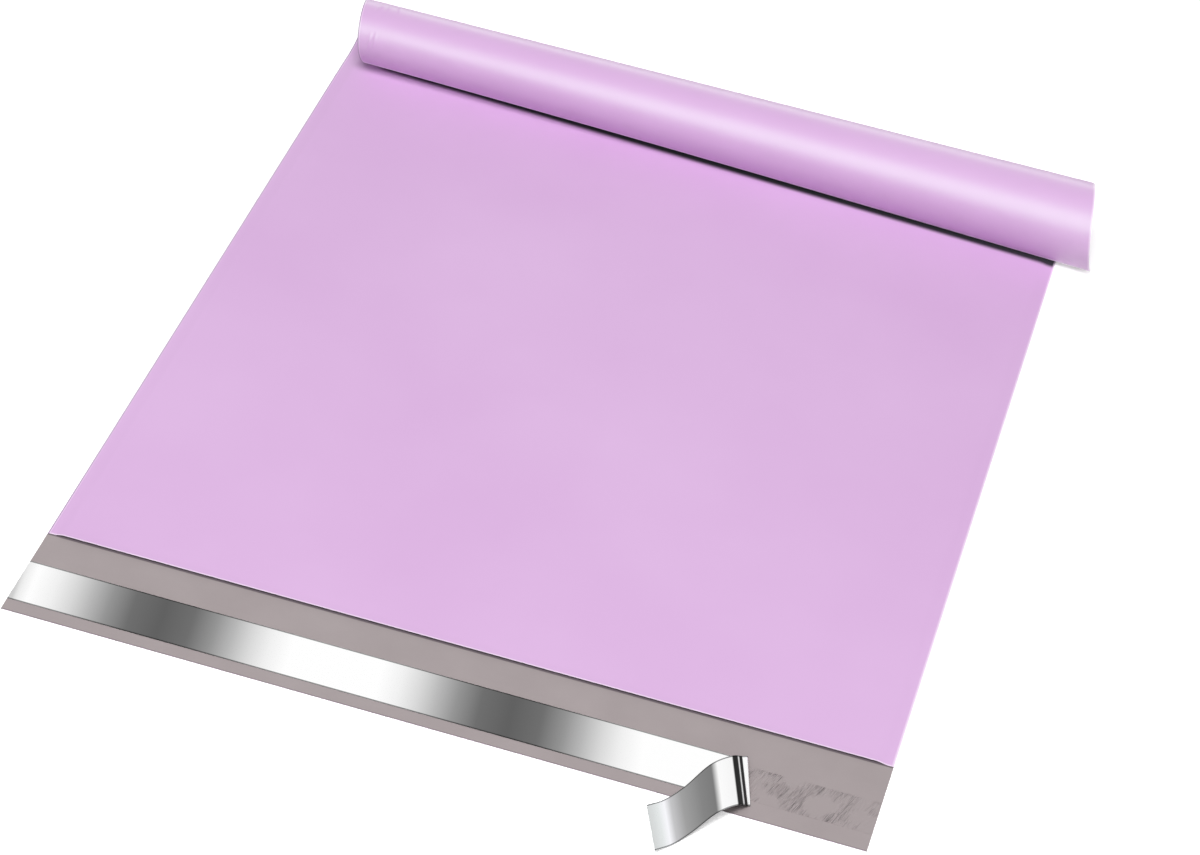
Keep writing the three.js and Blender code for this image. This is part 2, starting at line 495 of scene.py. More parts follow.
# The tint of the outer layer's gloss, complementary to its pigment, so that highlights turn white
PEARL = (0.48, 1.0, 0.48, 1)

# Painted lines along the outer layer's edges: a painted highlight along the sides and the lip,
# and painted shade along the left side. Each by how far in from the edge it starts, how far in
# it is full, and how strong it is there
SIDE_HIGHLIGHT = (1.1 * MM, 0.3 * MM, 0.9)
LIP_HIGHLIGHT = (1.0 * MM, 0.3 * MM, 0.8)
SHADED_SIDE = (0.6 * MM, 0.4 * MM, 0.75)

# The painted highlight in a line above the crevice: its start at the bag's left and right side,
# counted from the fold, half the length over which it comes in, its strength, and where past the
# fold it is gone
TIP_HIGHLIGHT_LEFT = -10.8 * MM
TIP_HIGHLIGHT_RIGHT = -1.6 * MM
TIP_HIGHLIGHT_EASE = 0.6 * MM
TIP_HIGHLIGHT_STRENGTH = 0.8
TIP_HIGHLIGHT_GONE = 0.5 * MM

# Painted shade on the front panel, a dark line in the crevice under the curl's tip: how far under
# the tip its middle lies, and how far from its middle it is still full and is gone
CREVICE_DEPTH = 3 * MM
CREVICE_FULL = 2.5 * MM
CREVICE_GONE = 6 * MM

# How far from the bag's left side that line starts and is full, and how strong it is
CREVICE_START = (15 * MM, 24 * MM, 0.97)

# The curl's left half bulges over the panel in front of its tip, and the crevice with it
CREVICE_LEAD = 1.3 * MM

# Film nearer to the fold than GLOSSY_TO is curled and has its own gloss. Film past FLAT_FROM lies
# flat and is made rougher, or the shine lamp would wash it out where it is seen from behind
GLOSSY_TO = 85 * MM
FLAT_FROM = 125 * MM
FLAT_ROUGHNESS = 0.78
LEAST_ROUGHNESS = 0.4
MOST_ROUGHNESS = 0.46

# The streaks' noise, in cells to a metre across the web and along it
STREAKS = (900.0, 14.0, 1.0)


def painted_highlights(tree, film, split, from_fold):
    """Painted highlights: along the outer layer's sides and lip, and in a line above the crevice."""
    half = film.width / 2
    off_axis = add_node(tree, "ShaderNodeMath", {"operation": "ABSOLUTE"}, {0: split.outputs["X"]})
    start, full, strength = SIDE_HIGHLIGHT
    side = add_node(
        tree,
        "ShaderNodeMapRange",
        {"From Min": half - start, "From Max": half - full, "To Max": strength},
        {"Value": off_axis.outputs["Value"]},
    )
    line = add_node(
        tree,
        "ShaderNodeMapRange",
        {"From Min": -half, "From Max": half, "To Min": TIP_HIGHLIGHT_LEFT, "To Max": TIP_HIGHLIGHT_RIGHT},
        {"Value": split.outputs["X"]},
    )
    past_line = add_node(
        tree, "ShaderNodeMath", {"operation": "SUBTRACT"}, {0: from_fold, 1: line.outputs["Result"]}
    )
    before_fold = add_node(
        tree,
        "ShaderNodeMapRange",
        {"From Max": TIP_HIGHLIGHT_GONE, "To Min": TIP_HIGHLIGHT_STRENGTH, "To Max": 0.0},
        {"Value": from_fold},
    )
    tip = add_node(
        tree,
        "ShaderNodeMapRange",
        {"From Min": -TIP_HIGHLIGHT_EASE, "From Max": TIP_HIGHLIGHT_EASE},
        {"Value": past_line.outputs["Value"], "To Max": before_fold.outputs["Result"]},
    )
    lip_at = film.flap + 2 * film.length
    start, full, strength = LIP_HIGHLIGHT
    lip = add_node(
        tree,
        "ShaderNodeMapRange",
        {"From Min": lip_at - start, "From Max": lip_at - full, "To Max": strength},
        {"Value": split.outputs["Y"]},
    )
    pale = tip.outputs["Result"]
    for edge in (lip, side):
        links = {0: edge.outputs["Result"], 1: pale}
        pale = add_node(tree, "ShaderNodeMath", {"operation": "MAXIMUM"}, links).outputs["Value"]
    return pale


def crevice_shade_strength(tree, film, split):
    """How strong the painted shade is on the front panel in the crevice under the curl's tip. The
    tip's line across the panel runs straight from where it comes down at the left side to where it
    does at the right side."""
    half = film.width / 2
    front_end = film.flap + 2 * film.length
    left_tip = curl_profile(film, "left")[-1][1]
    right_tip = curl_profile(film, "right")[-1][1]
    tip_line = add_node(
        tree,
        "ShaderNodeMapRange",
        {
            "From Min": -half,
            "From Max": half,
            "To Min": front_end - left_tip + CREVICE_LEAD,
            "To Max": front_end - right_tip,
        },
        {"Value": split.outputs["X"]},
    )
    off_tip = add_node(
        tree,
        "ShaderNodeMath",
        {"operation": "SUBTRACT"},
        {0: split.outputs["Y"], 1: tip_line.outputs["Result"]},
    )
    under_tip = add_node(
        tree, "ShaderNodeMath", {"operation": "ADD", 1: CREVICE_DEPTH}, {0: off_tip.outputs["Value"]}
    )
    near_tip = add_node(
        tree, "ShaderNodeMath", {"operation": "ABSOLUTE"}, {0: under_tip.outputs["Value"]}
    )
    start, full, strength = CREVICE_START
    under_curl = add_node(
        tree,
        "ShaderNodeMapRange",
        {
            "interpolation_type": "SMOOTHSTEP",
            "From Min": start - half,
            "From Max": full - half,
            "To Max": strength,
        },
        {"Value": split.outputs["X"]},
    )
    crevice = add_node(
        tree,
        "ShaderNodeMapRange",
        {
            "interpolation_type": "SMOOTHSTEP",
            "From Min": CREVICE_FULL,
            "From Max": CREVICE_GONE,
            "To Max": 0.0,
        },
        {"Value": near_tip.outputs["Value"], "To Min": under_curl.outputs["Result"]},
    )
    return crevice.outputs["Result"]


def film_outside(film):
    """Blown polyethylene with a pearly lavender pigment in its outer layer. It has a satin gloss
    with faint streaks along the web. Its colour has painted highlights along its cut and welded
    edges and its lip and in a line above the crevice, and painted shade: the dark line under the
    curl's tip and the shaded edge of the left side."""
    material, tree, output = new_material("co-extruded polyethylene, lavender outside")
    half = film.width / 2
    web = add_node(tree, "ShaderNodeUVMap", {"uv_map": "web"}).outputs["UV"]
    split = add_node(tree, "ShaderNodeSeparateXYZ", links={"Vector": web})
    from_fold = add_node(
        tree,
        "ShaderNodeMath",
        {"operation": "SUBTRACT", 1: film.flap + film.length},
        {0: split.outputs["Y"]},
    ).outputs["Value"]
    tone, _ = clouded(tree, web, 9.0, 3.0, film.outside_deep, film.outside)
    # Painted shade in the crevice under the curl's tip
    crevice_shaded = add_node(
        tree,
        "ShaderNodeMix",
        {"data_type": "RGBA", "B": (*film.painted_shade_colour, 1)},
        {"Factor": crevice_shade_strength(tree, film, split), "A": tone},
    )
    # Painted highlights along the sides and the lip and in a line above the crevice
    highlighted = add_node(
        tree,
        "ShaderNodeMix",
        {"data_type": "RGBA", "B": (*film.edge, 1)},
        {"Factor": painted_highlights(tree, film, split, from_fold), "A": crevice_shaded.outputs["Result"]},
    )
    # Painted shade along the left side's edge
    start, full, strength = SHADED_SIDE
    left_edge = add_node(
        tree,
        "ShaderNodeMapRange",
        {"From Min": start - half, "From Max": full - half, "To Max": strength},
        {"Value": split.outputs["X"]},
    )
    colour = add_node(
        tree,
        "ShaderNodeMix",
        {"data_type": "RGBA", "B": (*film.shaded_edge, 1)},
        {"Factor": left_edge.outputs["Result"], "A": highlighted.outputs["Result"]},
    )
    streaks = add_node(tree, "ShaderNodeMapping", {"Scale": STREAKS}, {"Vector": web})
    drawn = add_node(
        tree,
        "ShaderNodeTexNoise",
        {"Scale": 1.0, "Detail": 2.0},
        {"Vector": streaks.outputs["Vector"]},
    )
    rough = add_node(
        tree,
        "ShaderNodeMapRange",
        {"From Min": 0.3, "From Max": 0.7, "To Min": LEAST_ROUGHNESS, "To Max": MOST_ROUGHNESS},
        {"Value": drawn.outputs["Fac"]},
    )
    past_fold = add_node(tree, "ShaderNodeMath", {"operation": "ABSOLUTE"}, {0: from_fold})
    satin = add_node(
        tree,
        "ShaderNodeMapRange",
        {
            "interpolation_type": "SMOOTHSTEP",
            "From Min": GLOSSY_TO,
            "From Max": FLAT_FROM,
            "To Max": FLAT_ROUGHNESS,
        },
        {"Value": past_fold.outputs["Value"], "To Min": rough.outputs["Result"]},
    )
    bump = add_node(
        tree,
        "ShaderNodeBump",
        {"Strength": 0.12, "Distance": 0.05 * MM},
        {"Height": drawn.outputs["Fac"]},
    )
    shader = add_node(
        tree,
        "ShaderNodeBsdfPrincipled",
        {"IOR": 1.5, "Specular IOR Level": 0.8, "Specular Tint": PEARL},
        {
            "Base Color": colour.outputs["Result"],
            "Roughness": satin.outputs["Result"],
            "Normal": bump.outputs["Normal"],
        },
    )
    tree.links.new(shader.outputs["BSDF"], output.inputs["Surface"])
    return material


# Painted shade: a dark line along the flap's cut edge, and the shade under the front panel's lip,
# which goes on into the pocket. Each starts and is full so far from the cut edge, or short of the
# mouth
CUT_EDGE_SHADE = (0.7 * MM, 0.4 * MM, 0.35)
LIP_SHADE = (1.0 * MM, 0.6 * MM, 0.62)


def film_inside(film):
    """The same film's inner layer, with a grey pigment: a warm grey that has less gloss. Its
    colour also has painted shade: a dark line along the flap's cut edge and the shade under the lip."""
    material, tree, output = new_material("co-extruded polyethylene, grey inside")
    web = add_node(tree, "ShaderNodeUVMap", {"uv_map": "web"}).outputs["UV"]
    tone, cloud = clouded(tree, web, 40.0, 4.0, film.inside_deep, film.inside)
    split = add_node(tree, "ShaderNodeSeparateXYZ", links={"Vector": web})
    start, full, strength = CUT_EDGE_SHADE
    cut = add_node(
        tree,
        "ShaderNodeMapRange",
        {"From Min": start, "From Max": full, "To Max": strength},
        {"Value": split.outputs["Y"]},
    )
    start, full, strength = LIP_SHADE
    shaded = add_node(
        tree,
        "ShaderNodeMapRange",
        {"From Min": film.flap - start, "From Max": film.flap - full, "To Max": strength},
        {"Value": split.outputs["Y"]},
    )
    # Painted shade along the flap's cut edge and under the lip
    inside_shade = add_node(
        tree,
        "ShaderNodeMath",
        {"operation": "MAXIMUM"},
        {0: cut.outputs["Result"], 1: shaded.outputs["Result"]},
    )
    colour = add_node(
        tree,
        "ShaderNodeMix",
        {"data_type": "RGBA", "B": (*film.painted_shade_colour, 1)},
        {"Factor": inside_shade.outputs["Value"], "A": tone},
    )
    bump = add_node(
        tree, "ShaderNodeBump", {"Strength": 0.1, "Distance": 0.05 * MM}, {"Height": cloud}
    )
    shader = add_node(
        tree,
        "ShaderNodeBsdfPrincipled",
        {"IOR": 1.5, "Roughness": 0.65},
        {"Base Color": colour.outputs["Result"], "Normal": bump.outputs["Normal"]},
    )
    tree.links.new(shader.outputs["BSDF"], output.inputs["Surface"])
    return material


def strip_ends(film, seal):
    """The liner's near and far edge along the bag, and the height it lies at."""
    near_y = -film.flap + seal.liner_inset
    far_y = near_y + seal.liner_width
    return near_y, far_y, film.thickness + seal.adhesive_thickness


# The bared stretch of adhesive, which ends just short of the bag's side, and its wrinkles: how
# high they get, how far in from the stretch's edges they are full, and how much they lean
BARE_FROM = 128 * MM
BARE_TO = 183 * MM
WRINKLE_HEIGHT = 0.15 * MM
WRINKLE_FADE = 3 * MM
WRINKLE_LEAN = 0.35

# The noise of the wrinkled patches and of the ridges in them: its size across the bag and along
# it, and its layer. The bias makes the patches cover more, and the power makes ridges fuller
PATCH_NOISE = (13 * MM, 9 * MM, 1.3)
PATCH_BIAS = 0.35
RIDGE_NOISE = (1.7 * MM, 7 * MM, 8.1)
RIDGE_POWER = 0.8


def wrinkle_height(x, y, near_y, far_y):
    """Fine ridges across the strip that the peel left in the bared adhesive."""
    inside = min(x - BARE_FROM, BARE_TO - x, y - near_y, far_y - y)
    if inside <= 0:
        return 0.0
    fade = smoothstep(inside / WRINKLE_FADE)
    across, along, layer = PATCH_NOISE
    patch = noise.noise(Vector((x / across, y / along, layer))) + PATCH_BIAS
    across, along, layer = RIDGE_NOISE
    lean = x + WRINKLE_LEAN * y
    ridge = noise.noise(Vector((lean / across, y / along, layer)))
    return WRINKLE_HEIGHT * fade * max(0.0, patch) * abs(ridge) ** RIDGE_POWER


def make_adhesive(film, seal):
    """The adhesive coat: a thin strip with fine wrinkles where the liner has been peeled off it."""
    half = film.width / 2
    near_y, _, top = strip_ends(film, seal)
    near_y += (seal.liner_width - seal.adhesive_width) / 2
    far_y = near_y + seal.adhesive_width
    columns = spread(-half, [(BARE_FROM - 5 * MM, 8 * MM), (half, 0.4 * MM)])
    rows = spread(near_y, [(far_y, 0.5 * MM)])
    bm = flat_sheet(len(columns), len(rows))
    uv = bm.loops.layers.uv.new("web")
    for vert in bm.verts:
        x = columns[round(vert.co.x)]
        y = rows[round(vert.co.y)]
        if vert.co.z:
            z = top + wrinkle_height(x, y, near_y, far_y)
        else:
            z = film.thickness
        vert.co = Vector((x, y, z))
    for face in bm.faces:
        for loop in face.loops:
            loop[uv].uv = (loop.vert.co.x, loop.vert.co.y)
    return bm


# The adhesive's fine grain: its turn, its noise in cells to a metre along each axis, and the
# values of the patches' noise at which it starts and is full
GRAIN_TURN = math.radians(18)
GRAIN = (1000.0, 120.0, 100.0)
GRAIN_PATCHES = (0.42, 0.6)


def adhesive_coat(seal):
    """Clear hot melt, coated thin. It takes the grey of the flap below and shines a little more,
    and a fine grain crosses it in patches."""
    material, tree, output = new_material("hot-melt adhesive, coated")
    coords = add_node(tree, "ShaderNodeTexCoord").outputs["Object"]
    turned = add_node(
        tree, "ShaderNodeMapping", {"Rotation": (0, 0, GRAIN_TURN)}, {"Vector": coords}
    )
    drawn = add_node(
        tree, "ShaderNodeMapping", {"Scale": GRAIN}, {"Vector": turned.outputs["Vector"]}
    )
    ridges = add_node(
        tree,
        "ShaderNodeTexNoise",
        {"Scale": 1.0, "Detail": 1.0, "Distortion": 0.3},
        {"Vector": drawn.outputs["Vector"]},
    )
    level = add_node(
        tree, "ShaderNodeMath", {"operation": "SUBTRACT", 1: 0.5}, {0: ridges.outputs["Fac"]}
    )
    cloud = add_node(tree, "ShaderNodeTexNoise", {"Scale": 75.0, "Detail": 1.0}, {"Vector": coords})
    patch = add_node(
        tree,
        "ShaderNodeMapRange",
        {"From Min": GRAIN_PATCHES[0], "From Max": GRAIN_PATCHES[1]},
        {"Value": cloud.outputs["Fac"]},
    )
    height = add_node(
        tree,
        "ShaderNodeMath",
        {"operation": "MULTIPLY"},
        {0: level.outputs["Value"], 1: patch.outputs["Result"]},
    )
    bump = add_node(
        tree,
        "ShaderNodeBump",
        {"Strength": 1.0, "Distance": 2.4 * MM},
        {"Height": height.outputs["Value"]},
    )
    shader = add_node(
        tree,
        "ShaderNodeBsdfPrincipled",
        {"IOR": 1.5, "Roughness": 0.55, "Base Color": (*seal.adhesive_colour, 1)},
        {"Normal": bump.outputs["Normal"]},
    )
    tree.links.new(shader.outputs["BSDF"], output.inputs["Surface"])
    return material


# The free tail's heights in millimetres at its near and far edge, by the length run from the fold
TAIL_HEIGHTS = [
    (6.5, 4.6, 7.6),
    (17.5, 6.2, 8.8),
    (30.5, 1.9, 2.3),
    (39.5, 0.45, 0.5),
    (48.7, 2.3, 2.3),
]
LINER_FOLD_STEPS = 28
TAIL_STEPS = 20


def smooth_path(points, steps):
    """Points along a smooth curve through the given ones, a few to each stretch."""
    padded = [2 * points[0] - points[1], *points, 2 * points[-1] - points[-2]]
    path = []
    for before, start, end, after in zip(padded, padded[1:], padded[2:], padded[3:]):
        knots = [0.0]
        for a, b in ((before, start), (start, end), (end, after)):
            knots.append(knots[-1] + math.sqrt((b - a).length))
        for k in range(1, steps + 1):
            t = lerp(knots[1], knots[2], k / steps)
            first = before.lerp(start, (t - knots[0]) / (knots[1] - knots[0]))
            second = start.lerp(end, (t - knots[1]) / (knots[2] - knots[1]))
            third = end.lerp(after, (t - knots[2]) / (knots[3] - knots[2]))
            rising = first.lerp(second, (t - knots[0]) / (knots[2] - knots[0]))
            falling = second.lerp(third, (t - knots[1]) / (knots[3] - knots[1]))
            path.append(rising.lerp(falling, (t - knots[1]) / (knots[2] - knots[1])))
    return path


def liner_rows(film, seal):
    """The liner's near and far edge from its left end over the fold to the tail's cut end."""
    half = film.width / 2
    near_y, far_y, height = strip_ends(film, seal)
    skew = math.atan2(seal.peeled_far - seal.peeled_near, seal.liner_width)
    rows = []
    near_end = half - seal.peeled_near
    far_end = half - seal.peeled_far
    for share in spread(0, [(0.9, 0.02), (1, 0.01)]):
        near = Vector((lerp(-half, near_end, share), near_y, height))
        far = Vector((lerp(-half, far_end, share), far_y, height))
        rows.append((near, far))
    across = Vector((math.cos(skew), math.sin(skew), 0))
    along = Vector((math.sin(skew), -math.cos(skew), 0))
    peel = rows[-1]
    for k in range(1, LINER_FOLD_STEPS + 1):
        angle = math.pi * k / LINER_FOLD_STEPS
        turned = [
            start
            + across * (radius * math.sin(angle))
            + along * (radius * angle * math.tan(skew))
            + UP * (radius * (1 - math.cos(angle)))
            for start, radius in zip(peel, (seal.fold_near, seal.fold_far))
        ]
        rows.append(tuple(turned))
    near_start, far_start = rows[-1]
    near = [near_start]
    far = [far_start]
    full_run = TAIL_HEIGHTS[-1][0]
    heading = Vector((-math.cos(seal.heading), -math.sin(seal.heading), 0))
    for run, near_height, far_height in TAIL_HEIGHTS:
        slant = lerp(skew, seal.end_slant, run / full_run)
        point = near_start + heading * (run * MM)
        point.z = near_height * MM
        near.append(point)
        point = point + Vector((-math.sin(slant), math.cos(slant), 0)) * seal.liner_width
        point.z = far_height * MM
        far.append(point)
    rows += list(zip(smooth_path(near, TAIL_STEPS), smooth_path(far, TAIL_STEPS)))
    return rows


LINER_COLUMNS = 13

# How far the painted reflection tones lean along the strip for each unit across it, and the last
# stretch before the fold, over which that lean changes to the fold's own
BAND_SLANT = 0.14
BAND_TURN = 60 * MM


def liner_runs(rows):
    """How far along the liner each row's middle lies, from its left end."""
    runs = [0.0]
    for before, after in zip(rows, rows[1:]):
        middle_before = (before[0] + before[1]) / 2
        middle_after = (after[0] + after[1]) / 2
        runs.append(runs[-1] + (middle_after - middle_before).length)
    return runs


def make_liner(film, seal):
    """The liner: stuck flat, turned back over itself in a tight fold, and free from there."""
    rows = liner_rows(film, seal)
    runs = liner_runs(rows)
    skew = (seal.peeled_far - seal.peeled_near) / seal.liner_width
    peel_run = film.width - (seal.peeled_near + seal.peeled_far) / 2
    bm = flat_sheet(LINER_COLUMNS, len(rows))
    uv = bm.loops.layers.uv.new("run")
    last = len(rows) - 1
    for face in bm.faces:
        for loop in face.loops:
            k = round(loop.vert.co.y)
            share = loop.vert.co.x / (LINER_COLUMNS - 1)
            run = runs[k]
            if run <= peel_run:
                turned = smoothstep(run / BAND_TURN - peel_run / BAND_TURN + 1)
                slant = lerp(BAND_SLANT, skew, turned)
                x = lerp(rows[k][0].x, rows[k][1].x, share)
                run = x + film.width / 2 + slant * (share - 0.5) * seal.liner_width
            loop[uv].uv = (run, share * seal.liner_width)
    for vert in bm.verts:
        k = round(vert.co.y)
        share = vert.co.x / (LINER_COLUMNS - 1)
        near, far = rows[k]
        point = near.lerp(far, share)
        before = rows[max(k - 1, 0)][0].lerp(rows[max(k - 1, 0)][1], share)
        after = rows[min(k + 1, last)][0].lerp(rows[min(k + 1, last)][1], share)
        normal = (after - before).cross(far - near).normalized()
        vert.co = point + normal * (vert.co.z * seal.liner_thickness)
    bmesh.ops.recalc_face_normals(bm, faces=bm.faces[:])
    return bm


# Painted reflections along the liner, by millimetres run from its left end. A dark band of painted
# reflection crosses the flat strip twice, each fading to white on both sides, and these are its
# tones by distance from its middle.
REFLECTION_BANDS = (63, 214)
REFLECTION_BAND_TONES = [
    (-56, "#fbfbfb"),
    (-47, "#ededed"),
    (-39, "#d6d6d6"),
    (-31, "#b5b5b5"),
    (-23, "#929292"),
    (-13, "#6c6c6c"),
]
REFLECTION_BAND_MIDDLE = "#5e5e5e"
# Painted shade at the liner's left end
LEFT_END_SHADE = [(0.3, "#cccccc"), (1.5, "#e8e8e8"), (6, "#fafafa")]

# Then come the fold's painted reflections and shade in tight black and white lines, and the broad
# painted reflections of the tail's wave
TAIL_FROM = 312.0
TAIL_REFLECTIONS_AND_SHADE = [
    (312, "#fdfdfd"),
    (313, "#454545"),
    (315.8, "#454545"),
    (316.2, "#fbfbfb"),
    (318.8, "#fbfbfb"),
    (319.1, "#060606"),
    (320.9, "#060606"),
    (321.2, "#e0e0e0"),
    (321.8, "#d0d0d0"),
    (322.1, "#141414"),
    (324.9, "#262626"),
    (325.5, "#f4f4f4"),
    (333.5, "#fafafa"),
    (336.5, "#7b7b7b"),
    (343, "#858585"),
    (352, "#9f9f9f"),
    (357.5, "#c4c4c6"),
    (360.5, "#f4f4f8"),
    (364, "#e0e4e4"),
    (369, "#cfd2d2"),
]
LINER_LENGTH = 372.0


def painted_strip_tones():
    """All painted tones of the flat strip: painted shade at its left end and reflection bands."""
    tones = list(LEFT_END_SHADE)
    for middle in REFLECTION_BANDS:
        tones += [(middle + off, code) for off, code in REFLECTION_BAND_TONES]
        tones.append((middle, REFLECTION_BAND_MIDDLE))
        tones += [(middle - off, code) for off, code in reversed(REFLECTION_BAND_TONES)]
    return tones


def tone_ramp(tree, run, start, end, tones):
    """A colour ramp over one stretch of the liner's run, its places in millimetres."""
    place = add_node(
        tree,
        "ShaderNodeMapRange",
        {"From Min": start * MM, "From Max": end * MM},
        {"Value": run},
    )
    ramp = add_node(tree, "ShaderNodeValToRGB", links={"Fac": place.outputs["Result"]})
    set_ramp(ramp, [((at - start) / (end - start), hex_colour(code)) for at, code in tones])
    return ramp.outputs["Color"]


# Painted shade along the liner's cut edges: how far in it starts and is full, and what is left of
# the tone
LINER_EDGE_SHADE = (0.7 * MM, 0.5 * MM, 0.3)


def metallised_film(seal):
    """Polyester film with a vapour-deposited aluminium skin, a soft mirror. It would mirror the
    bright and dark parts of a room in broad bands, which a plain studio lacks, so they are painted
    as reflection tones along the strip, with painted shade at its left end and its cut edges."""
    material, tree, output = new_material("metallised polyester film, silicone coated")
    run = add_node(tree, "ShaderNodeUVMap", {"uv_map": "run"}).outputs["UV"]
    split = add_node(tree, "ShaderNodeSeparateXYZ", links={"Vector": run})
    past_strip = add_node(
        tree,
        "ShaderNodeMath",
        {"operation": "GREATER_THAN", 1: TAIL_FROM * MM},
        {0: split.outputs["X"]},
    )
    # Painted reflections along the strip, its fold and its tail, with painted shade at the left end
    tone = add_node(
        tree,
        "ShaderNodeMix",
        {"data_type": "RGBA"},
        {
            "Factor": past_strip.outputs["Value"],
            "A": tone_ramp(tree, split.outputs["X"], 0.0, TAIL_FROM, painted_strip_tones()),
            "B": tone_ramp(tree, split.outputs["X"], TAIL_FROM, LINER_LENGTH, TAIL_REFLECTIONS_AND_SHADE),
        },
    )
    half = seal.liner_width / 2
    from_middle = add_node(
        tree, "ShaderNodeMath", {"operation": "SUBTRACT", 1: half}, {0: split.outputs["Y"]}
    )
    off_middle = add_node(
        tree, "ShaderNodeMath", {"operation": "ABSOLUTE"}, {0: from_middle.outputs["Value"]}
    )
    start, full, left_over = LINER_EDGE_SHADE
    edge_shade = add_node(
        tree,
        "ShaderNodeMapRange",
        {"From Min": half - start, "From Max": half - full, "To Min": 1.0, "To Max": left_over},
        {"Value": off_middle.outputs["Value"]},
    )
    # Painted shade along the liner's cut edges
    lined = add_node(
        tree,
        "ShaderNodeMix",
        {"data_type": "RGBA", "blend_type": "MULTIPLY", "Factor": 1.0},
        {"A": tone.outputs["Result"], "B": edge_shade.outputs["Result"]},
    )
    ripple = add_node(tree, "ShaderNodeTexNoise", {"Scale": 60.0, "Detail": 2.0}, {"Vector": run})
    bump = add_node(
        tree,
        "ShaderNodeBump",
        {"Strength": 0.15, "Distance": 0.1 * MM},
        {"Height": ripple.outputs["Fac"]},
    )
    shader = add_node(
        tree,
        "ShaderNodeBsdfPrincipled",
        {"Metallic": 1.0, "Roughness": 0.2},
        {"Base Color": lined.outputs["Result"], "Normal": bump.outputs["Normal"]},
    )
    tree.links.new(shader.outputs["BSDF"], output.inputs["Surface"])
    return material


def looked_at(tree):
    """1 for what the camera sees, straight or in gloss or through something, 0 for what lights."""
    path = add_node(tree, "ShaderNodeLightPath")
    seen = path.outputs["Is Camera Ray"]
    for ray in ("Is Glossy Ray", "Is Transmission Ray"):
        links = {0: seen, 1: path.outputs[ray]}
        seen = add_node(tree, "ShaderNodeMath", {"operation": "MAXIMUM"}, links).outputs["Value"]
    return seen


# The floor's own glow, which brings it to white where it is seen, its reach from its middle to
# its sides in metres, and the gap that keeps it from sharing the film's plane
FLOOR_GLOW = 0.4
FLOOR_REACH = 4
FLOOR_GAP = 0.1 * MM


def floor_material(stage):
    """White card: it shows white to the camera and in gloss, and darkens where the bag shades it."""
    material, tree, output = new_material("white card")
    strength = add_node(
        tree, "ShaderNodeMath", {"operation": "MULTIPLY", 1: FLOOR_GLOW}, {0: looked_at(tree)}
    )
    glow = add_node(
        tree,
        "ShaderNodeEmission",
        {"Color": (1, 1, 1, 1)},
        {"Strength": strength.outputs["Value"]},
    )
    card = add_node(tree, "ShaderNodeBsdfDiffuse", {"Color": (*stage.floor_colour, 1)})
    both = add_node(
        tree,
        "ShaderNodeAddShader",
        links={0: card.outputs["BSDF"], 1: glow.outputs["Emission"]},
    )
    tree.links.new(both.outputs["Shader"], output.inputs["Surface"])
    return material


def make_world(stage):
    """Soft light from all round, seen as plain white by the camera and in gloss."""
    world = bpy.data.worlds.new("studio")
    bpy.context.scene.world = world
    world.use_nodes = True
    tree = world.node_tree
    tree.nodes.clear()
    strength = add_node(
        tree, "ShaderNodeMapRange", {"To Min": stage.ambient}, {"Value": looked_at(tree)}
    )
    back = add_node(
        tree,
        "ShaderNodeBackground",
        {"Color": (1, 1, 1, 1)},
        {"Strength": strength.outputs["Result"]},
    )
    output = add_node(tree, "ShaderNodeOutputWorld")
    tree.links.new(back.outputs["Background"], output.inputs["Surface"])


# Metres from the middle of the bag to each lamp
LAMP_DISTANCE = 3

# The camera's sensor in millimetres, and how many metres it sees
SENSOR_WIDTH = 36
CLIP_END = 20


def view_turn(azimuth, elevation):
    """How a lamp or camera is turned to look from that side at the bag, and the way back to it."""
    back = Vector((
        math.sin(azimuth) * math.cos(elevation),
        -math.cos(azimuth) * math.cos(elevation),
        math.sin(elevation),
    ))
    return (-back).to_track_quat("-Z", "Y"), back


def add_lamp(name, power, azimuth, elevation, width, height, roll=0, gloss_only=True):
    """A soft lamp that looks at the middle of the bag from that side, turned round its own axis.
    It either shows in gloss only or lights without showing in gloss."""
    lamp = bpy.data.lights.new(name, "AREA")
    lamp.shape = "RECTANGLE"
    lamp.size = width
    lamp.size_y = height
    lamp.energy = power
    holder = bpy.data.objects.new(name, lamp)
    bpy.context.scene.collection.objects.link(holder)
    turn, back = view_turn(math.radians(azimuth), math.radians(elevation))
    holder.rotation_mode = "QUATERNION"
    holder.rotation_quaternion = turn @ Quaternion(UP, math.radians(roll))
    holder.location = (CAD_BOX[0] + CAD_BOX[1]) / 2 + back * LAMP_DISTANCE
    holder.visible_diffuse = not gloss_only
    holder.visible_glossy = gloss_only


def add_camera(stage):
    """The camera at the picture's place, with the mouth's middle where the picture has it."""
    camera = bpy.data.cameras.new("camera")
    camera.lens = stage.focal
    camera.sensor_width = SENSOR_WIDTH
    camera.clip_end = CLIP_END
    holder = bpy.data.objects.new("camera", camera)
    bpy.context.scene.collection.objects.link(holder)
    turn, _ = view_turn(stage.azimuth, stage.elevation)
    turn = turn @ Quaternion(UP, stage.roll)
    aim = Vector((-stage.shift_right, -stage.shift_up, stage.distance))
    holder.rotation_mode = "QUATERNION"
    holder.rotation_quaternion = turn
    holder.location = turn @ aim
    bpy.context.scene.camera = holder


class MAILER_OT_film(bpy.types.Operator):
    """Makes the folded, welded and curled film pouch"""

    bl_idname = "mailer.film"
    bl_label = "Film pouch"

    def execute(self, context):
        film = context.scene.mailer_film
        materials = [film_outside(film), film_inside(film)]
        finish_piece(make_film(film), "mailer_film", materials, "film_pouch")
        return {"FINISHED"}


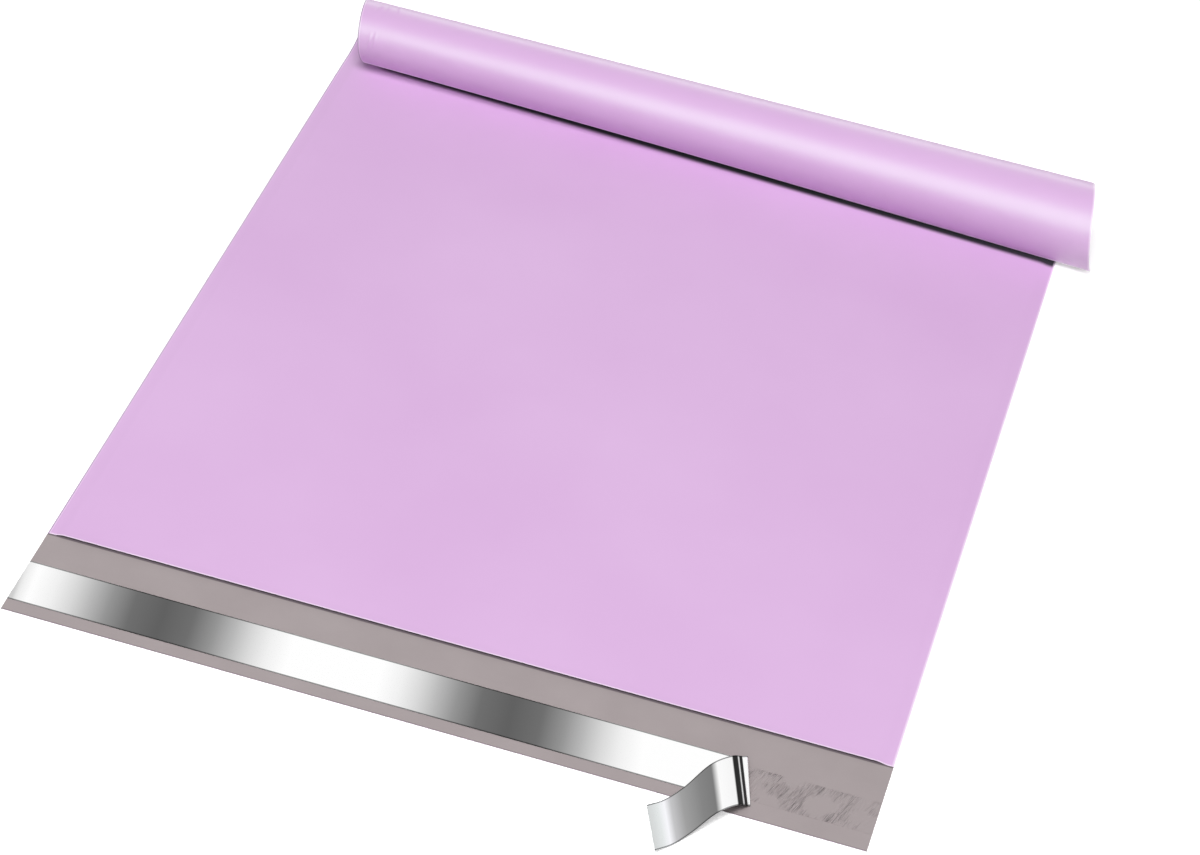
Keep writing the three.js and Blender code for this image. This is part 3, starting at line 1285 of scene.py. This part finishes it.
class MAILER_OT_adhesive(bpy.types.Operator):
    """Makes the adhesive strip, with its wrinkles where it is bare"""

    bl_idname = "mailer.adhesive"
    bl_label = "Adhesive strip"

    def execute(self, context):
        seal = context.scene.mailer_seal
        bm = make_adhesive(context.scene.mailer_film, seal)
        finish_piece(bm, "seal_adhesive", [adhesive_coat(seal)], "adhesive_strip")
        return {"FINISHED"}


class MAILER_OT_liner(bpy.types.Operator):
    """Makes the release liner with its fold and free tail"""

    bl_idname = "mailer.liner"
    bl_label = "Release liner"

    def execute(self, context):
        film = context.scene.mailer_film
        seal = context.scene.mailer_seal
        materials = [metallised_film(seal)]
        finish_piece(make_liner(film, seal), "liner", materials, "release_liner")
        return {"FINISHED"}


class MAILER_OT_stage(bpy.types.Operator):
    """Makes the floor, the lamps, the white surroundings and the camera"""

    bl_idname = "mailer.stage"
    bl_label = "Stage"

    def execute(self, context):
        stage = context.scene.mailer_stage
        bm = bmesh.new()
        bmesh.ops.create_grid(bm, x_segments=1, y_segments=1, size=FLOOR_REACH)
        mesh = bpy.data.meshes.new("floor")
        bm.to_mesh(mesh)
        bm.free()
        mesh.materials.append(floor_material(stage))
        floor = bpy.data.objects.new("floor", mesh)
        context.scene.collection.objects.link(floor)
        floor.location.z = CAD_BOX[0].z - FLOOR_GAP
        make_world(stage)
        add_lamp("key", stage.key, azimuth=2, elevation=67, width=1.5, height=1.5, gloss_only=False)
        add_lamp("back", stage.rim, azimuth=190, elevation=20, width=1.8, height=0.7)
        add_lamp("shine", stage.shine, azimuth=-6, elevation=37, width=2.8, height=2.1, roll=-30)
        add_camera(stage)
        context.scene.view_settings.view_transform = "Standard"
        return {"FINISHED"}


class MAILER_PT_panel(bpy.types.Panel):
    """Lists the bag's pieces and its stage"""

    bl_idname = "MAILER_PT_panel"
    bl_label = "Poly mailer bag"
    bl_space_type = "VIEW_3D"
    bl_region_type = "UI"
    bl_category = "Mailer"

    def draw(self, context):
        for operator in OPERATORS:
            self.layout.operator(operator.bl_idname)
        for group in GROUPS:
            settings = getattr(context.scene, group)
            for name in settings.bl_rna.properties.keys():
                if name not in ("rna_type", "name"):
                    self.layout.prop(settings, name)


GROUPS = {
    "mailer_film": FilmSettings,
    "mailer_seal": SealSettings,
    "mailer_stage": StageSettings,
}
OPERATORS = [MAILER_OT_film, MAILER_OT_adhesive, MAILER_OT_liner, MAILER_OT_stage]


def register():
    for cls in [*GROUPS.values(), *OPERATORS, MAILER_PT_panel]:
        bpy.utils.register_class(cls)
    for name, cls in GROUPS.items():
        setattr(bpy.types.Scene, name, PointerProperty(type=cls))


def unregister():
    for name in GROUPS:
        delattr(bpy.types.Scene, name)
    for cls in reversed([*GROUPS.values(), *OPERATORS, MAILER_PT_panel]):
        bpy.utils.unregister_class(cls)


def main():
    register()
    bpy.ops.mailer.film()
    bpy.ops.mailer.adhesive()
    bpy.ops.mailer.liner()
    bpy.ops.mailer.stage()


if __name__ == "__main__":
    main()
